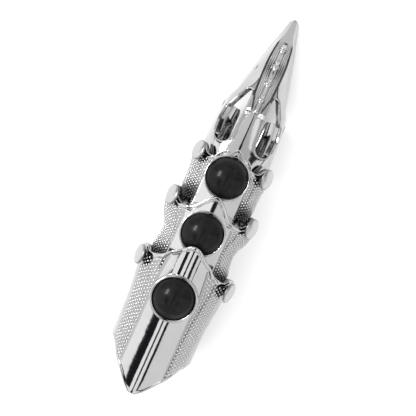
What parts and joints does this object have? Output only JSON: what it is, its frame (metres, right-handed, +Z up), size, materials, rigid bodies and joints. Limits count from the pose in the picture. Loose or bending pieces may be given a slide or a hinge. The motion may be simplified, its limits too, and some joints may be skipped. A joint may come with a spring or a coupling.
{
  "type": "knuckle armor ring",
  "caption": "Full-finger armour ring of riveted, hinged plates with domed round stones, a split finger band, beaded flanks and a pierced fingertip claw.",
  "frame": {"origin": "on the surface that the ring lies on, under the middle of its box", "axes": "+Y along the finger to the claw tip, +X across the finger, +Z up, away from the surface"},
  "size_m": [0.0256, 0.0982, 0.0267],
  "materials": {
    "silver": "polished cast metal, satin on the side walls, darkened in the recesses",
    "onyx": "opaque black stone, high gloss"
  },
  "bodies": {
    "knuckle": {"knuckle_plate": "silver", "knuckle_stone": "onyx", "knuckle_rivet_left": "silver", "knuckle_rivet_right": "silver"},
    "middle": {"middle_plate": "silver", "middle_stone": "onyx", "middle_rivet_left": "silver", "middle_rivet_right": "silver"},
    "front": {"front_plate": "silver", "front_stone": "onyx", "front_rivet_left": "silver", "front_rivet_right": "silver"},
    "claw": {"claw": "silver"}
  },
  "joints": [
    {"name": "middle_hinge", "type": "hinge", "parent": "knuckle", "child": "middle", "pos_m": [0, -0.01748, 0.01613], "axis": [-1, 0, 0], "range_deg": [0, 30]},
    {"name": "front_hinge", "type": "hinge", "parent": "middle", "child": "front", "pos_m": [0, -0.00138, 0.01646], "axis": [-1, 0, 0], "range_deg": [0, 30]},
    {"name": "claw_hinge", "type": "hinge", "parent": "front", "child": "claw", "pos_m": [0, 0.01072, 0.01533], "axis": [-1, 0, 0], "range_deg": [0, 30]}
  ]
}
